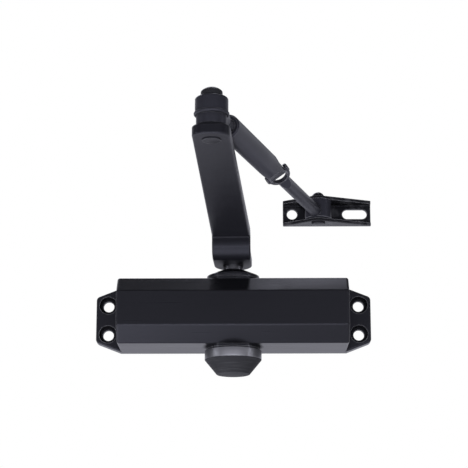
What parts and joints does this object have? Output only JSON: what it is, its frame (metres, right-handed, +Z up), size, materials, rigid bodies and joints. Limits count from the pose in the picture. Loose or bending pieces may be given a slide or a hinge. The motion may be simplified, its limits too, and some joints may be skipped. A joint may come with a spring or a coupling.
{
  "type": "door closer",
  "caption": "Surface-mounted overhead door closer: bevelled cast body with drilled ears, rack and pinion inside, flat main arm, adjustable forearm and channel bracket.",
  "frame": {"origin": "centre of the body's back face, which is the centre of its four-hole pattern", "axes": "+X along the body, +Y into the door (the picture looks along +Y), +Z up; the arm's far end points to -Y"},
  "size_m": [0.1784, 0.2649, 0.1125],
  "materials": {
    "body_paint": "semi-gloss black powder coat on a casting",
    "arm_paint": "satin black paint on steel bar",
    "forearm_paint": "satin dark grey-black paint on turned steel",
    "bracket_paint": "glossy black paint on folded sheet",
    "hardware_black": "black finished rivets, screws and washers",
    "cap_plastic": "dark grey moulded plastic with a fine texture",
    "spindle_steel": "turned steel, darkened",
    "inner_steel": "machined and oiled steel",
    "bronze": "sintered bronze",
    "seal_rubber": "black oil-resistant rubber"
  },
  "bodies": {
    "closer_body": {"body_casting": "body_paint", "end_plug_left": "body_paint", "end_plug_right": "body_paint", "end_plug_o_rings": "seal_rubber", "upper_bearing_cap": "body_paint", "lower_bearing_cap": "body_paint", "upper_bearing": "bronze", "lower_bearing": "bronze", "upper_shaft_seal": "seal_rubber", "lower_shaft_seal": "seal_rubber", "thrust_washers": "inner_steel", "pinion_cap": "cap_plastic", "closing_spring": "inner_steel", "valve_o_rings": "seal_rubber"},
    "swing_arm": {"spindle": "spindle_steel", "main_arm": "arm_paint", "arm_screw": "hardware_black", "arm_washer": "hardware_black", "elbow_pin": "hardware_black", "elbow_washer": "hardware_black", "elbow_cap": "cap_plastic"},
    "piston_group": {"piston": "inner_steel", "check_valve_seat": "inner_steel", "check_valve_ball": "inner_steel"},
    "forearm_stud": {"elbow_eye": "arm_paint", "elbow_bush": "bronze"},
    "forearm_tube": {"forearm_sleeve": "forearm_paint"},
    "forearm_end": {"forearm_rod": "forearm_paint", "clevis_pin": "hardware_black"},
    "foot_bracket": {"bracket": "bracket_paint", "bracket_rivet": "hardware_black"},
    "closing_valve": {"closing_speed_valve": "bronze"},
    "latching_valve": {"latching_speed_valve": "bronze"}
  },
  "joints": [
    {"name": "arm_swing", "type": "hinge", "parent": "closer_body", "child": "swing_arm", "pos_m": [0, -0.024, 0], "axis": [0, 0, 1], "range_deg": [0, 170], "stiffness_Nm_per_rad": 1.5, "springref_deg": -28.65},
    {"name": "piston_slide", "type": "slide", "parent": "closer_body", "child": "piston_group", "axis": [1, 0, 0], "range_m": [0, 0.02226], "deforming": ["closing_spring"]},
    {"name": "elbow_fold", "type": "hinge", "parent": "swing_arm", "child": "forearm_stud", "pos_m": [-0.00843, -0.25385, 0.0594], "axis": [0, 0, 1], "range_deg": [-165, 0]},
    {"name": "forearm_length", "type": "slide", "parent": "forearm_stud", "child": "forearm_tube", "axis": [0.2933, 0.956, 0], "range_m": [-0.006, 0.014]},
    {"name": "clevis_tilt", "type": "hinge", "parent": "forearm_tube", "child": "forearm_end", "pos_m": [0.02676, -0.13912, 0.06005], "axis": [0.8108, -0.2487, 0.5299], "range_deg": [-12, 12]},
    {"name": "bracket_swing", "type": "hinge", "parent": "forearm_end", "child": "foot_bracket", "pos_m": [0.0541, -0.05, 0.0622], "axis": [0, 0, 1], "range_deg": [-80, 80]},
    {"name": "closing_speed", "type": "hinge", "parent": "closer_body", "child": "closing_valve", "pos_m": [0.0655, -0.012, 0.0164], "axis": [1, 0, 0], "range_deg": [-180, 180]},
    {"name": "latching_speed", "type": "hinge", "parent": "closer_body", "child": "latching_valve", "pos_m": [0.0655, -0.012, -0.0164], "axis": [1, 0, 0], "range_deg": [-180, 180]}
  ],
  "couplings": [
    {"joint": "piston_slide", "follows": "arm_swing", "m_per_rad": 0.0075}
  ]
}
